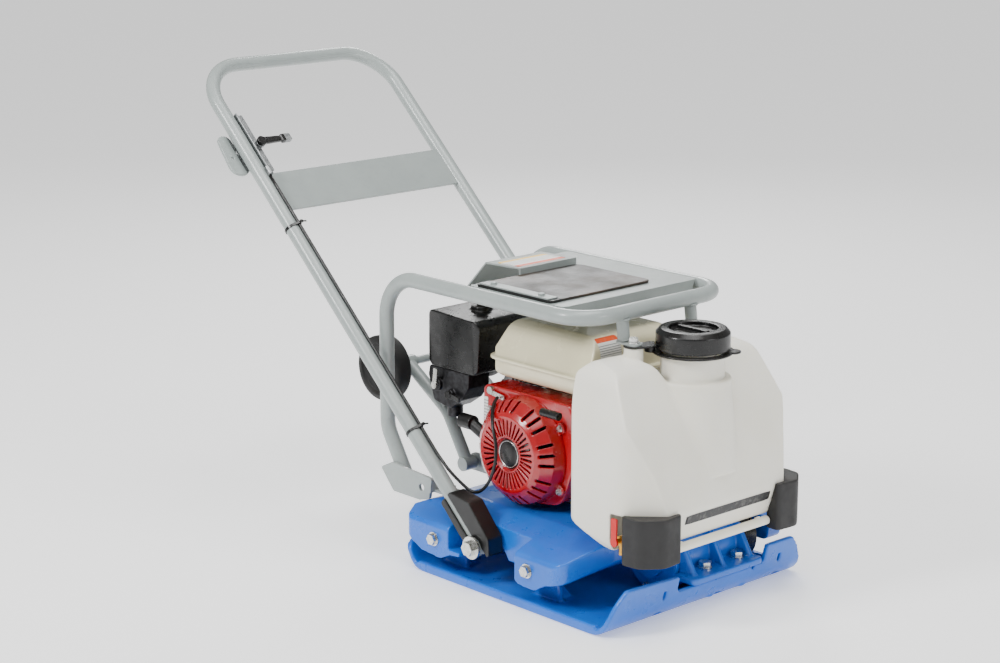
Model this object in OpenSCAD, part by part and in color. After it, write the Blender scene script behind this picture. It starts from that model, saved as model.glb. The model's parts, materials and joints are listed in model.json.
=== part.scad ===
// Forward plate compactor with a folding handle, water tank and wheel kit.
// +X points forward, +Y to the operator's left and +Z up. The ground is z = 0,
// y = 0 is the centreline, and x = 0 lies 270 mm behind the plate's front edge.

/* [Base plate] */
// Width of the base plate
plate_w = 500; // [480:5:520]
// Thickness of the base plate
plate_t = 10; // [8:1:12]
// Where the flat sole starts, at the rear
sole_rear = -203; // [-210:1:-195]
// Where the flat sole ends, at the front
sole_front = 235; // [230:1:238]
// Outer radius of the front bend
front_bend_r = 44; // [42:1:46]
// Outer radius of the rear bend
rear_bend_r = 36; // [34:1:38]
// Height of the side rims
rim_h = 18; // [15:1:20]
// Height of the front lip
front_lip_z = 83; // [78:1:86]
// Height of the rear lip
rear_lip_z = 64; // [60:1:70]

/* [Exciter] */
// Distance of the eccentric shaft ahead of the origin
exciter_x = 178; // [174:1:182]
// Height of the eccentric shaft
exciter_z = 72; // [70:1:74]
// Outer radius of the exciter housing
exciter_r = 60; // [58:1:60]
// Inner radius of the exciter housing
exciter_bore_r = 46; // [44:1:48]
// Diameter of the eccentric shaft
exciter_shaft_d = 30; // [28:1:32]

/* [Engine] */
// Position of the crankshaft along the machine
crank_x = -60; // [-64:1:-56]
// Height of the crankshaft
crank_z = 237; // [235:1:239]
// Height of the surface that the engine stands on
engine_base_z = 132; // [130:1:134]
// Outer diameter of the recoil starter cover
recoil_d = 200; // [196:1:202]

/* [Belt drive] */
// Middle plane of the belt
belt_y = 165; // [164:1:166]
// Pitch radius of the clutch pulley
clutch_pitch_r = 44; // [42:1:46]
// Pitch radius of the exciter pulley
exciter_pitch_r = 36; // [34:1:38]
// Width of the belt
belt_w = 14; // [12:1:15]

/* [Handle] */
// Tube diameter of the handle and the cage
tube_d = 28; // [26:1:30]
// Wall of the tubes
tube_wall = 2.5; // [2:0.5:3]
// Half the distance between the handle's side tubes
handle_half_w = 228; // [226:1:230]
// Length of the handle from its pivot to the top bar
handle_len = 1132; // [1000:10:1150]
// Angle of the handle above horizontal when working
handle_angle = 43.2; // [42:0.1:45]
// Pivot position along the machine
pivot_x = -62; // [-64:1:-60]
// Pivot height
pivot_z = 81; // [80:1:82]
// Diameter of the pivot bolts
pivot_bolt_d = 16; // [14:1:18]

/* [Lifting cage] */
// Height of the cage's top tubes
cage_z = 519; // [515:1:525]
// Half the distance between the cage's side tubes
cage_half_w = 180; // [178:1:182]
// Rear uprights' position
cage_rear_x = -375; // [-378:1:-372]
// Front cross tube's position
cage_front_x = 142; // [138:1:146]
// Tie-down hole diameter in the cage feet
tie_hole_d = 14; // [12:1:16]

/* [Water tank] */
// Rear edge of the tank's wings
tank_rear_x = 125; // [122:1:128]
// Half the tank's width
tank_half_w = 204; // [200:1:206]
// Wall of the tank
tank_wall = 4; // [3:0.5:5]
// Centre of the filler neck
neck_x = 230; // [226:1:234]
// Diameter of the filler cap
cap_d = 130; // [124:1:134]

/* [Wheel kit] */
// Diameter of a transport wheel
wheel_d = 126; // [110:2:130]
// Width of a transport wheel
wheel_w = 42; // [36:1:44]
// Position of the wheel axle along the machine, stowed
axle_x = -448; // [-452:1:-444]
// Height of the wheel axle, stowed
axle_z = 317; // [312:1:322]
// Half the distance between the wheels
wheel_half_gap = 125; // [120:1:130]

/* [Hidden] */
$fn = 48;

SIDES = [-1, 1];
blue = [0.0, 0.41, 0.82];
steel_grey = [0.69, 0.73, 0.72];
black = [0.08, 0.08, 0.08];
plated = [0.75, 0.75, 0.76];
dark_steel = [0.30, 0.31, 0.32];
cast_grey = [0.62, 0.63, 0.63];
red = [0.78, 0.08, 0.14];
cream = [0.87, 0.85, 0.75];
ivory = [0.91, 0.91, 0.86];
charcoal = [0.20, 0.20, 0.19];
rubber_black = [0.10, 0.10, 0.10];

half_w = plate_w / 2;
run_clear = 0.05;
isolator_xz = [[-166, 71.5], [79, 73.7]];
isolator_r = 14.5;
ear_out_y = 200;
ear_in_y = 190;
lobe_in_y = 236;
pocket_y = 206;
pocket_rear = -128;
pocket_front = 46;
exciter_near_y = -30;
exciter_far_y = 128;
guard_in_y = 146;
guard_out_y = 184;
tube_r = tube_d / 2;
tube_bore = tube_d - 2 * tube_wall;
foot_z = 48;
foot_t = 12;

// ---- vectors and outlines -------------------------------------------------

function unit(v) = v / norm(v);
function clip(c) = max(-1, min(1, c));

// Points of an arc of radius r that rounds the corner b between a and c.
function corner_arc(a, b, c, r, steps) =
    let (u = unit(a - b), v = unit(c - b))
    let (half = acos(clip(u * v)) / 2)
    let (centre = b + unit(u + v) * r / sin(half))
    let (s = b + u * r / tan(half) - centre)
    let (e = b + v * r / tan(half) - centre)
    let (a0 = atan2(s[1], s[0]), a1 = atan2(e[1], e[0]))
    let (turn = a1 - a0 > 180 ? a1 - a0 - 360 : a1 - a0 < -180 ? a1 - a0 + 360 : a1 - a0)
    [for (i = [0 : steps]) centre + r * [cos(a0 + turn * i / steps), sin(a0 + turn * i / steps)]];

// A closed outline whose points are [x, y, corner radius].
function rounded(pts, steps = 5) = [
    for (i = [0 : len(pts) - 1])
        let (n = len(pts), b = pts[i], a = pts[(i + n - 1) % n], c = pts[(i + 1) % n])
        each b[2] > 0
            ? corner_arc([a[0], a[1]], [b[0], b[1]], [c[0], c[1]], b[2], steps)
            : [[b[0], b[1]]]
];

// A rounded rectangle as an outline.
function round_box(x0, y0, x1, y1, r) =
    rounded([[x0, y0, r], [x1, y0, r], [x1, y1, r], [x0, y1, r]]);

// Outlines in X and Z drawn out along Y, in Y and Z along X, in X and Y along Z.
module slab_y(y0, y1) translate([0, y1, 0]) rotate([90, 0, 0]) linear_extrude(y1 - y0) children();
module slab_x(x0, x1) translate([x0, 0, 0]) rotate([90, 0, 90]) linear_extrude(x1 - x0) children();
module slab_z(z0, z1) translate([0, 0, z0]) linear_extrude(z1 - z0) children();

module box(low, high) translate(low) cube(high - low);
module rod_y(x, z, y0, y1, d) translate([x, y1, z]) rotate([90, 0, 0]) cylinder(h = y1 - y0, d = d);
module rod_x(y, z, x0, x1, d) translate([x0, y, z]) rotate([0, 90, 0]) cylinder(h = x1 - x0, d = d);
module rod_z(x, y, z0, z1, d) translate([x, y, z0]) cylinder(h = z1 - z0, d = d);

module both_sides() {
    children();
    mirror([0, 1, 0]) children();
}

// A straight rod between two points.
module rod(a, b, d) {
    v = b - a;
    translate(a)
        rotate([0, acos(clip(v[2] / norm(v))), atan2(v[1], v[0])])
            cylinder(h = norm(v), d = d);
}

// A bent tube along points, with one bend radius at each inner point.
module bent_rod(pts, radii, d) {
    last = len(pts) - 1;
    function dir(i) = unit(pts[i + 1] - pts[i]);
    function turn(i) = i < 1 || i >= last ? 0 : acos(clip(dir(i - 1) * dir(i)));
    function cut(i) = i < 1 || i >= last ? 0 : radii[i - 1] * tan(turn(i) / 2);
    for (i = [0 : last - 1])
        rod(pts[i] + dir(i) * cut(i), pts[i + 1] - dir(i) * cut(i + 1), d);
    for (i = [1 : last - 1]) {
        u = dir(i - 1);
        n = unit(dir(i) - u * (u * dir(i)));
        w = cross(u, n);
        c = pts[i] - u * cut(i) + n * radii[i - 1];
        multmatrix([
            [-n[0], u[0], w[0], c[0]],
            [-n[1], u[1], w[1], c[1]],
            [-n[2], u[2], w[2], c[2]],
            [0, 0, 0, 1]
        ])
            rotate_extrude(angle = turn(i)) translate([radii[i - 1], 0]) circle(d = d);
    }
}

// A hexagon-head bolt pointing along -Z from z = 0, head above, with washer.
module hex_bolt(d, across, head_h, length, washer_d = 0, washer_t = 0) {
    cylinder(h = washer_t, d = max(washer_d, 0.1));
    translate([0, 0, washer_t]) cylinder(h = head_h, d = across / cos(30), $fn = 6);
    translate([0, 0, -length]) cylinder(h = length + washer_t, d = d);
}

// ---- base plate and exciter -----------------------------------------------

foot_bolt_x = [252, 104];
foot_bolt_y = [19, 103];
front_lean = 14;
rear_rise = 62;

lip_len = 70;
front_way = [sin(front_lean), cos(front_lean)];
rear_way = [-cos(rear_rise), sin(rear_rise)];
front_corner = sole_front + front_bend_r * tan(45 - front_lean / 2);
front_corner_in = sole_front + (front_bend_r - plate_t) * tan(45 - front_lean / 2);
rear_corner = sole_rear - rear_bend_r * tan(rear_rise / 2);
rear_corner_in = sole_rear - (rear_bend_r - plate_t) * tan(rear_rise / 2);

// Side view of the bent plate, whose points are [x, z, bend radius].
module plate_profile() {
    front_tip = [front_corner, 0] + (lip_len + 34) * front_way;
    rear_tip = [rear_corner, 0] + (lip_len + 22) * rear_way;
    polygon(rounded([
        [rear_corner, 0, rear_bend_r], [front_corner, 0, front_bend_r],
        [front_tip[0], front_tip[1], 0],
        [front_tip[0] - plate_t * front_way[1], front_tip[1] + plate_t * front_way[0], 0],
        [front_corner_in, plate_t, front_bend_r - plate_t],
        [rear_corner_in, plate_t, rear_bend_r - plate_t],
        [rear_tip[0] + plate_t * rear_way[1], rear_tip[1] - plate_t * rear_way[0], 0],
        [rear_tip[0], rear_tip[1], 0]
    ], 9));
}

// Silhouette of the plate from the front, which shapes both lips.
module lip_outline() {
    polygon(rounded([
        [-half_w, -5, 0], [half_w, -5, 0], [half_w, rim_h, 0], [half_w - 3, 34, 12],
        [half_w - 18, 62, 22], [half_w - 36, front_lip_z, 12],
        [144, front_lip_z, 6], [144, foot_z, 6], [-82, foot_z, 6], [-82, front_lip_z - 6, 6],
        [-half_w + 36, front_lip_z, 12], [-half_w + 18, 62, 22], [-half_w + 3, 34, 12],
        [-half_w, rim_h, 0]
    ]));
}

module rear_outline() {
    polygon(rounded([
        [-half_w, -5, 0], [half_w, -5, 0], [half_w, 40, 16], [half_w - 46, rear_lip_z, 24],
        [-half_w + 46, rear_lip_z, 24], [-half_w, 40, 16]
    ]));
}

module base_plate() color(blue) {
    difference() {
        union() {
            intersection() {
                slab_y(-half_w, half_w) plate_profile();
                union() {
                    slab_x(sole_front - 20, sole_front + 90) lip_outline();
                    slab_x(sole_rear - 90, sole_rear + 20) rear_outline();
                    box([sole_rear, -half_w, -1], [sole_front, half_w, rim_h]);
                }
                slab_z(-1, 100) polygon(round_box(-275, -half_w, 300, half_w, 24));
            }
            both_sides() {
                slab_y(-half_w, -half_w + 11)
                    polygon([[sole_rear - 12, 4], [sole_front + 12, 4], [sole_front + 10, rim_h],
                             [sole_rear - 8, rim_h]]);
                isolator_ears();
            }
            exciter_bosses();
            front_ribs();
        }
        for (y = [-114, 39, 195])
            box([sole_front + 10, y - 11, 9], [sole_front + 60, y + 11, 14]);
        for (y = [-114, 117, 185])
            box([sole_front + 30, y - 3, foot_z - 8], [sole_front + 90, y + 3, foot_z + 9]);
        for (x = foot_bolt_x, y = foot_bolt_y)
            rod_z(x, y, foot_z - 26, foot_z + 1, 14);
    }
}

// Upright ears that carry the rubber isolators of one side.
module isolator_ears() {
    for (p = isolator_xz)
        difference() {
            union() {
                slab_y(-ear_out_y, -ear_in_y)
                    polygon(rounded([[p[0] - 34, plate_t - 1, 0], [p[0] + 34, plate_t - 1, 0],
                                     [p[0] + 22, p[1] + 20, 14], [p[0] - 22, p[1] + 20, 14]]));
                for (dx = [-20, 12])
                    slab_x(p[0] + dx, p[0] + dx + 8)
                        polygon([[-ear_in_y - 1, plate_t - 1], [-ear_in_y + 34, plate_t - 1],
                                 [-ear_in_y - 1, p[1] - 24]]);
            }
            rod_y(p[0], p[1], -ear_out_y - 1, -ear_in_y + 1, 12);
        }
}

// Pillars under the exciter's feet.
module exciter_bosses() {
    for (x = foot_bolt_x, y = foot_bolt_y)
        rod_z(x, y, plate_t - 1, foot_z, 34);
}

// Low casting ribs in the tray.
module front_ribs() {
    for (y = [-150, 170])
        slab_y(y - 4, y + 4)
            polygon([[150, plate_t - 1], [sole_front + 30, plate_t - 1], [sole_front + 34, 40],
                     [sole_front + 24, 30], [205, plate_t + 3]]);
}

module exciter_housing() color(blue) {
    difference() {
        union() {
            rod_y(exciter_x, exciter_z, exciter_near_y, exciter_far_y, 2 * exciter_r);
            for (s = SIDES)
                slab_z(foot_z, foot_z + foot_t)
                    polygon(round_box(exciter_x + (s > 0 ? 40 : -90), -45,
                                      exciter_x + (s > 0 ? 107 : -40), 139, 10));
            for (y = [exciter_near_y, 46, 118]) exciter_gusset(y, 10);
            rod_z(exciter_x, 50, exciter_z, exciter_z + exciter_r + 4, 34);
        }
        rod_y(exciter_x, exciter_z, exciter_near_y - 1, exciter_far_y + 1, 2 * exciter_bore_r);
        rod_y(exciter_x, exciter_z, exciter_near_y - 40, exciter_near_y, 2 * exciter_r + 3);
        rod_y(exciter_x, exciter_z, exciter_far_y, exciter_far_y + 40, 2 * exciter_r + 3);
        for (x = foot_bolt_x, y = foot_bolt_y) rod_z(x, y, foot_z - 1, foot_z + foot_t + 1, 15);
        at_cover_bolts() {
            rod_y(0, 0, exciter_near_y - 1, exciter_near_y + 14, 7);
            rod_y(0, 0, exciter_far_y - 14, exciter_far_y + 1, 7);
        }
    }
}

// A triangular gusset on the foot, both ahead of and behind the housing.
module exciter_gusset(y, w) {
    slab_y(y, y + w)
        polygon([[exciter_x + 50, foot_z + 2], [exciter_x + 96, foot_z + 6],
                 [exciter_x + 60, exciter_z + 44], [exciter_x + 30, exciter_z + 50],
                 [exciter_x - 30, exciter_z + 50], [exciter_x - 56, exciter_z + 30],
                 [exciter_x - 80, foot_z + 6], [exciter_x - 50, foot_z + 2]]);
}

// Calls its children at each of the six cover bolts.
module at_cover_bolts()
    for (a = [20 : 60 : 320])
        translate([exciter_x + 53 * cos(a), 0, exciter_z + 53 * sin(a)]) children();

module cover_disc(y0, y1, boss_y0, boss_y1) {
    rod_y(exciter_x, exciter_z, y0, y1, 2 * exciter_r - 2);
    rod_y(exciter_x, exciter_z, boss_y0, boss_y1, 64);
}

module exciter_covers() color(blue) {
    difference() {
        cover_disc(exciter_near_y - 10, exciter_near_y, exciter_near_y - 22, exciter_near_y);
        rod_y(exciter_x, exciter_z, exciter_near_y - 14, exciter_near_y + 1, exciter_shaft_d + 2);
        at_cover_bolts() rod_y(0, 0, exciter_near_y - 12, exciter_near_y + 1, 7);
    }
    difference() {
        cover_disc(exciter_far_y, exciter_far_y + 8, exciter_far_y, exciter_far_y + 14);
        rod_y(exciter_x, exciter_z, exciter_far_y - 1, exciter_far_y + 15, exciter_shaft_d + 2);
        at_cover_bolts() rod_y(0, 0, exciter_far_y - 1, exciter_far_y + 9, 7);
    }
}

module bearing_ring(y0, y1) {
    difference() {
        rod_y(exciter_x, exciter_z, y0, y1, 2 * exciter_bore_r);
        rod_y(exciter_x, exciter_z, y0 - 1, y1 + 1, exciter_shaft_d + 2 * run_clear);
    }
}

module exciter_bearings() color(plated) {
    bearing_ring(exciter_near_y, exciter_near_y + 18);
    bearing_ring(exciter_far_y - 18, exciter_far_y);
}

module exciter_bolts() color(plated) {
    for (x = foot_bolt_x, y = foot_bolt_y)
        translate([x, y, foot_z + foot_t]) hex_bolt(14, 21, 9, 34, 26, 3);
    at_cover_bolts() {
        translate([0, exciter_near_y - 10, 0]) rotate([90, 0, 0]) hex_bolt(7, 12, 5, 20, 13, 1.2);
        translate([0, exciter_far_y + 8, 0]) rotate([-90, 0, 0]) hex_bolt(7, 12, 4, 18, 13, 1.2);
    }
}

module rubber_isolators() color(rubber_black) {
    both_sides()
        for (p = isolator_xz)
            rod_y(p[0], p[1], -lobe_in_y + 1.5, -ear_out_y, 2 * isolator_r);
}

module exciter_shaft() color(plated) {
    rod_y(exciter_x, exciter_z, exciter_near_y - 10, belt_y + 13, exciter_shaft_d);
}

module eccentric_weight() color(dark_steel) {
    difference() {
        slab_y(exciter_near_y + 28, exciter_far_y - 28)
            translate([exciter_x, exciter_z])
                intersection() {
                    circle(exciter_bore_r - 5);
                    union() {
                        translate([-60, -60]) square([120, 66]);
                        circle(exciter_shaft_d / 2 + 6);
                    }
                }
        rod_y(exciter_x, exciter_z, -100, 200, exciter_shaft_d);
    }
}

// A grooved belt pulley about the Y axis, with its groove in the belt's plane.
module pulley(x, z, pitch_r, bore_d, half_t) {
    translate([x, belt_y, z]) rotate([90, 0, 0]) rotate_extrude()
        polygon([[bore_d / 2, -half_t], [pitch_r + 5, -half_t], [pitch_r + 5, -belt_w / 2 - 2],
                 [pitch_r - 7, -belt_w / 2 + 2], [pitch_r - 7, belt_w / 2 - 2],
                 [pitch_r + 5, belt_w / 2 + 2], [pitch_r + 5, half_t], [bore_d / 2, half_t]]);
}

module exciter_pulley() color(dark_steel) {
    pulley(exciter_x, exciter_z, exciter_pitch_r, exciter_shaft_d, 13);
}

// ---- engine deck ------------------------------------------------------------

module deck_side_view() {
    polygon(rounded([
        [-262, 108, 8], [-258, 74, 10], [-226, 54, 14], [-200, 42, 14], [-150, 38, 18],
        [-124, 50, 10], [-98, 53, 4], [-98, 96, 10], [-40, 96, 10], [-15, 57, 0],
        [34, 58, 8], [56, 43, 12], [96, 41, 16], [122, 56, 12], [160, 66, 12],
        [196, 96, 12], [196, 118, 10], [176, engine_base_z, 12], [-190, engine_base_z, 20],
        [-240, 118, 10]
    ]));
}

module deck_section(edge_y, edge_z, shoulder_z, top_z) {
    polygon(rounded([
        [-edge_y, 0, 0], [edge_y, 0, 0], [edge_y, edge_z, 12], [205, shoulder_z, 14],
        [150, top_z, 30], [-150, top_z, 30], [-205, shoulder_z, 14], [-edge_y, edge_z, 12]
    ]));
}

module deck_plan(inset) {
    polygon(rounded([
        [-262 + inset, -205 + inset, 20], [-240, -half_w + inset, 16], [158, -half_w + inset, 24],
        [192 - inset, -150, 24], [192 - inset, 190, 24], [158, half_w - inset, 24],
        [-240, half_w - inset, 16], [-262 + inset, 205 - inset, 20]
    ]));
}

module deck_shell() {
    difference() {
        intersection() {
            slab_y(-half_w, half_w) deck_side_view();
            slab_x(-270, 200) deck_section(half_w, 100, 116, engine_base_z);
            slab_z(30, 150) deck_plan(0);
        }
        difference() {
            intersection() {
                slab_x(-260, 190) deck_section(lobe_in_y, 91, 103, engine_base_z - 14);
                slab_z(0, engine_base_z - 14) deck_plan(14);
            }
            pocket_walls();
        }
    }
}

// Solid pads behind the two handle pockets.
module pocket_walls() {
    both_sides()
        box([pocket_rear - 4, -lobe_in_y, 50], [pocket_front + 4, -pocket_y + 12, 130]);
}

module engine_deck() color(blue) {
    difference() {
        union() {
            deck_shell();
            both_sides() rod_y(pivot_x, pivot_z, -pocket_y - 3, -pocket_y + 12, 46);
            for (y = [-92, 76]) box([-130, y, 112], [30, y + 16, engine_base_z]);
            slab_y(206, 243) polygon(rounded([[180, 62, 0], [232, 62, 12], [238, 104, 12], [180, 112, 0]]));
        }
        both_sides() {
            difference() {
                box([pocket_rear, -half_w - 1, 30], [pocket_front, -pocket_y, 160]);
                rod_y(pivot_x, pivot_z, -pocket_y - 3, -pocket_y, 46);
                slab_y(-half_w, -pocket_y)
                    polygon([[pocket_rear, 38], [-98, 53], [-98, 60], [pocket_rear, 60]]);
            }
            rod_y(pivot_x, pivot_z, -pocket_y - 6, -pocket_y + 16, pivot_bolt_d);
            for (p = isolator_xz) rod_y(p[0], p[1], -half_w - 1, -lobe_in_y + 1, 12);
        }
        box([106, -58, 30], [200, 196, 160]);
        box([-40, guard_in_y - 6, 30], [130, guard_out_y + 5, 160]);
        for (x = engine_bolt_x, y = engine_bolt_y) rod_z(x, y, 100, 140, 9);
        both_sides() rod_z(foot_bolt[0], foot_bolt[1], 100, 140, 10);
    }
}

module isolator_bolts() color(plated) {
    both_sides()
        for (p = isolator_xz)
            translate([p[0], -half_w, p[1]]) rotate([90, 0, 0]) hex_bolt(12, 18, 7.5, 13, 26, 2);
}

module handle_pivots() color(plated) {
    both_sides() {
        rod_y(pivot_x, pivot_z, -handle_half_w - 24, -pocket_y + 12, pivot_bolt_d);
        rod_y(pivot_x, pivot_z, -handle_half_w - 27, -handle_half_w - 22.3, 42);
        translate([pivot_x, -handle_half_w - 27, pivot_z]) rotate([90, 0, 0])
            cylinder(h = 10, d = 24 / cos(30), $fn = 6);
    }
}

// ---- belt drive -------------------------------------------------------------

belt_run = [exciter_x - crank_x, exciter_z - crank_z];
belt_dist = norm(belt_run);
belt_angle = atan2(belt_run[1], belt_run[0]);

// Outline around both pulleys, with radius r1 at the clutch and r2 at the exciter.
module belt_loop(r1, r2) {
    lean = asin((r1 - r2) / belt_dist);
    reach = 0.985;
    way = reach * [sin(lean), cos(lean)];
    back = reach * [sin(lean), -cos(lean)];
    translate([crank_x, crank_z]) rotate(belt_angle) {
        circle(r1);
        translate([belt_dist, 0]) circle(r2);
        polygon([r1 * way, [belt_dist, 0] + r2 * way, [belt_dist, 0] + r2 * back, r1 * back]);
    }
}

module drive_belt() color(rubber_black) {
    slab_y(belt_y - belt_w / 2 + 2.2, belt_y + belt_w / 2 - 2.2)
        difference() {
            belt_loop(clutch_pitch_r + 2, exciter_pitch_r + 2);
            belt_loop(clutch_pitch_r - 6.5, exciter_pitch_r - 6.5);
        }
}

module belt_guard() color(black) {
    difference() {
        slab_y(guard_in_y, guard_out_y) belt_loop(68, 50);
        slab_y(guard_in_y + 3, guard_out_y - 3) belt_loop(65, 47);
        slab_y(guard_in_y - 1, guard_in_y + 4) {
            translate([crank_x, crank_z]) circle(20);
            translate([exciter_x, exciter_z]) circle(28);
        }
        for (a = [0 : 30 : 330])
            slab_y(guard_out_y - 4, guard_out_y + 1)
                translate([crank_x, crank_z]) rotate(a) translate([34, -4]) square([22, 8]);
    }
    for (x = [-112, 0])
        box([x, 108, engine_base_z], [x + 24, guard_in_y, engine_base_z + 4]);
    for (x = [-112, 0])
        box([x, guard_in_y - 4, engine_base_z], [x + 24, guard_in_y, crank_z - 50]);
}

// ---- lifting cage and top sheet ---------------------------------------------

cage_foot_x = -345;
cage_path = [
    [cage_foot_x + 22, -cage_half_w, 142], [cage_rear_x, -cage_half_w, 226],
    [cage_rear_x, -cage_half_w, cage_z], [cage_front_x, -cage_half_w, cage_z],
    [cage_front_x, cage_half_w, cage_z], [cage_rear_x, cage_half_w, cage_z],
    [cage_rear_x, cage_half_w, 226], [cage_foot_x + 22, cage_half_w, 142]
];
cage_radii = [60, 80, 62, 62, 80, 60];
post_x = 148;
post_y = 86;
tank_bolt_x = 171;
tank_bolt_z = 471;

module lifting_cage() color(steel_grey) {
    difference() {
        bent_rod(cage_path, cage_radii, tube_d);
        bent_rod(cage_path, cage_radii, tube_bore);
    }
    both_sides() {
        rod([cage_front_x + 1, -post_y, cage_z - tube_r + 3], [post_x, -post_y, tank_bolt_z], 22);
        difference() {
            slab_z(tank_bolt_z - 3.4, tank_bolt_z)
                polygon(round_box(post_x - 11, -post_y - 13, tank_bolt_x + 14, -post_y + 13, 8));
            rod_z(tank_bolt_x, -post_y, 400, 500, 8);
        }
    }
}

foot_y = -cage_half_w - tube_r - 3;
foot_tab_z = engine_base_z;

module cage_feet() color(steel_grey) both_sides() {
    difference() {
        union() {
            slab_y(foot_y - 3, foot_y + 3)
                polygon(rounded([[-373, 152, 4], [-337, 112, 6], [-263, 112, 6], [-236, 119.5, 4],
                                 [-228, 160, 6], [-300, 164, 6], [-340, 168, 10]]));
            slab_x(-236, -231) polygon([[foot_y - 3, foot_tab_z + 0.2], [foot_y + 42, foot_tab_z + 0.2],
                                        [foot_y + 42, 150], [foot_y - 3, 158]]);
            box([-236, foot_y + 6, foot_tab_z + 0.2], [-184, foot_y + 42, foot_tab_z + 5]);
        }
        rod_y(-257, 137, foot_y - 4, foot_y + 4, tie_hole_d);
        rod_z(foot_bolt[0], foot_bolt[1], 100, 150, 10);
    }
}

foot_bolt = [-206, -cage_half_w + 8];

module cage_bolts() color(plated) both_sides() {
    translate([foot_bolt[0], foot_bolt[1], foot_tab_z + 5]) hex_bolt(10, 16, 7, 22, 22, 2);
    translate([tank_bolt_x, -post_y, tank_bolt_z]) hex_bolt(8, 14, 7, 14, 21, 2.5);
}

sheet_z = cage_z + 10;
sheet_half_w = cage_half_w - 10;

module top_sheet() color(steel_grey) {
    difference() {
        union() {
            slab_z(sheet_z, sheet_z + 3)
                polygon(rounded([[-156, -sheet_half_w, 6], [84, -sheet_half_w, 12], [84, sheet_half_w, 12],
                                 [-250, sheet_half_w, 6], [-250, hood_y1 + 0.2, 0], [-156, hood_y1 + 0.2, 0]]));
            slab_x(80, 84)
                polygon([[-cage_half_w + 18, sheet_z + 1], [cage_half_w - 18, sheet_z + 1],
                         [cage_half_w - 30, sheet_z - 26], [-cage_half_w + 30, sheet_z - 26]]);
        }
        slab_z(sheet_z - 1, sheet_z + 4) polygon(round_box(-120, -110, 26, 52, 20));
    }
}

hood_y0 = -56;
hood_y1 = 86;
hood_t = 3;

// A bent sheet that slopes down behind the engine, open on its near side.
module top_hood() color(steel_grey) {
    slab_y(hood_y0, hood_y1)
        polygon([[-294, 487], [-238, 545], [-144, 548], [-144, sheet_z + 3], [-144 - hood_t, sheet_z + 3],
                 [-144 - hood_t, 548 - hood_t], [-237, 545 - hood_t], [-292, 485]]);
    slab_y(hood_y1 - hood_t, hood_y1)
        polygon([[-292, 487], [-238, 544], [-145, 547], [-145, sheet_z + 3], [-240, sheet_z + 3]]);
}

flap_x0 = -142;
flap_x1 = 50;
flap_hinge_y = -138;
flap_screw_x = [-108, 14];

module flap_clamp() color(steel_grey) {
    box([-134, -166, sheet_z + 8], [42, -143, sheet_z + 10.5]);
    for (x = flap_screw_x) {
        rod_z(x, -155, sheet_z + 3, sheet_z + 13, 6);
        rod_z(x, -155, sheet_z + 10, sheet_z + 14.5, 12);
    }
}

// The rubber sheet's fixed edge, under the clamp strip.
module flap_root() color(rubber_black)
    difference() {
        slab_z(sheet_z + 3, sheet_z + 8) polygon(rounded([[flap_x0, -168, 8], [flap_x1, -168, 8],
                                                          [flap_x1, flap_hinge_y - 3, 0], [flap_x0, flap_hinge_y - 3, 0]]));
        for (x = flap_screw_x) rod_z(x, -155, sheet_z, sheet_z + 10, 6);
    }

// The part of the rubber sheet that lifts off the fuel filler.
module rubber_flap() color(rubber_black) {
    slab_z(sheet_z + 3.3, sheet_z + 8)
        polygon(rounded([[flap_x0, flap_hinge_y + 0.5, 0], [flap_x1, flap_hinge_y + 0.5, 0],
                         [flap_x1, 87, 16], [flap_x0, 87, 16]]));
    rod_x(flap_hinge_y, sheet_z + 5.6, flap_x0 + 1, flap_x1 - 1, 5);
}

// ---- engine -------------------------------------------------------------------

engine_bolt_x = [-163, 56];
engine_bolt_y = [-38, 76];
barrel_lean = 25;
barrel_start = 95;
barrel_dir = [-cos(barrel_lean), sin(barrel_lean)];
barrel_side = [sin(barrel_lean), cos(barrel_lean)];
barrel_foot = [crank_x, crank_z] + barrel_start * barrel_dir;
barrel_top = [each (barrel_foot + 50 * barrel_side), 0];
barrel_low = [each (barrel_foot - 50 * barrel_side), 0];

module crankcase() color(cast_grey) {
    difference() {
        union() {
            slab_y(-58, 96)
                polygon(rounded([[-150, engine_base_z, 0], [36, engine_base_z, 0], [44, 170, 16],
                                 [40, 290, 30], [-20, 330, 30], [-90, 330, 16], barrel_top, barrel_low,
                                 [-156, 190, 12]]));
            slab_z(engine_base_z, engine_base_z + 14)
                polygon(round_box(-174, -56, 68, 94, 12));
            rod_y(crank_x, crank_z, 96, 116, 84);
        }
        rod_y(crank_x, crank_z, -59, 117, 25 + 2 * run_clear);
        slab_y(-40, 80) polygon(round_box(-120, 150, 10, 310, 20));
        for (x = engine_bolt_x, y = engine_bolt_y)
            rod_z(x, y, engine_base_z - 1, engine_base_z + 15, 9);
    }
}

module cylinder_barrel() color(cast_grey)
    translate([crank_x, 18, crank_z]) rotate([0, barrel_lean - 90, 0]) {
        translate([0, 0, barrel_start]) cylinder(h = 56, d = 78);
        for (i = [0 : 4])
            translate([-50, -60, barrel_start + 6 + 10 * i]) cube([100, 120, 4]);
        translate([-48, -58, barrel_start + 56]) cube([96, 116, 20]);
        for (i = [0 : 3])
            translate([-44 + 24 * i, -50, barrel_start + 76]) cube([5, 100, 10]);
    }

module fan_shroud() color(red) {
    difference() {
        slab_y(-118, -62) shroud_outline(0);
        slab_y(-114, -61) shroud_outline(4);
        rod_y(crank_x, crank_z, -120, -110, 150);
    }
}

module shroud_outline(t) {
    polygon(rounded([
        [-178 + t, 232, 14], [-150, 150 + t, 20], [-60, 136 + t, 60], [30, 150 + t, 40],
        [60 - t, 230, 30], [58 - t, 340 - t, 20], [-176 + t, 338 - t, 14]
    ]));
}

recoil_lugs = [33, 147, 213, 327];
lug_r = 107;
rim_slot_groups = [8, 52, 98, 142, 188, 232, 278, 322];

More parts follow.
